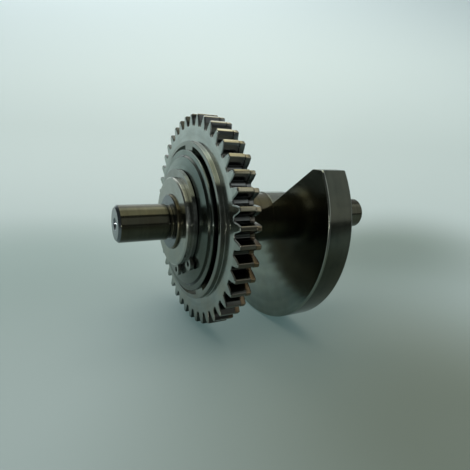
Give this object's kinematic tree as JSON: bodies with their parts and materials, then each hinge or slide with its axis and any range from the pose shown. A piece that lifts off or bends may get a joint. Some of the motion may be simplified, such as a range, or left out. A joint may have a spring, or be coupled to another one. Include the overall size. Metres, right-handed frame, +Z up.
{
  "type": "balance shaft",
  "caption": "Engine balance shaft with a fan-shaped counterweight and a split anti-backlash spur gear, carried by a ground journal at each end.",
  "frame": {"origin": "on the shaft axis, in the plane of the main gear's front face", "axes": "+X along the shaft from the gear towards the counterweight, +Z up with the counterweight hanging down, +Y to the left when looking along +X"},
  "size_m": [0.1268, 0.0938, 0.0909],
  "materials": {
    "shaft_steel": "turned and ground, oily, dark satin on the counterweight",
    "hub_steel": "fine turned",
    "gear_steel": "ground face, oily teeth",
    "sub_gear_steel": "ground face, oily teeth",
    "spring_wire": "drawn wire",
    "plate_steel": "phosphated, oily",
    "clip_steel": "phosphated, worn bright on its edges"
  },
  "bodies": {
    "shaft": {"balance_shaft": "shaft_steel", "gear_hub": "hub_steel", "main_gear": "gear_steel", "scissor_spring_1": "spring_wire", "scissor_spring_2": "spring_wire", "scissor_spring_3": "spring_wire", "spring_plate": "plate_steel", "circlip": "clip_steel"},
    "sprung_gear": {"sub_gear": "sub_gear_steel"}
  },
  "joints": [
    {"name": "sub_gear_turn", "type": "hinge", "parent": "shaft", "child": "sprung_gear", "pos_m": [0.0076, 0, 0], "axis": [-1, 0, 0], "range_deg": [0, 2.4], "stiffness_Nm_per_rad": 12, "springref_deg": -6.88, "deforming": ["scissor_spring_1", "scissor_spring_2", "scissor_spring_3"]}
  ]
}
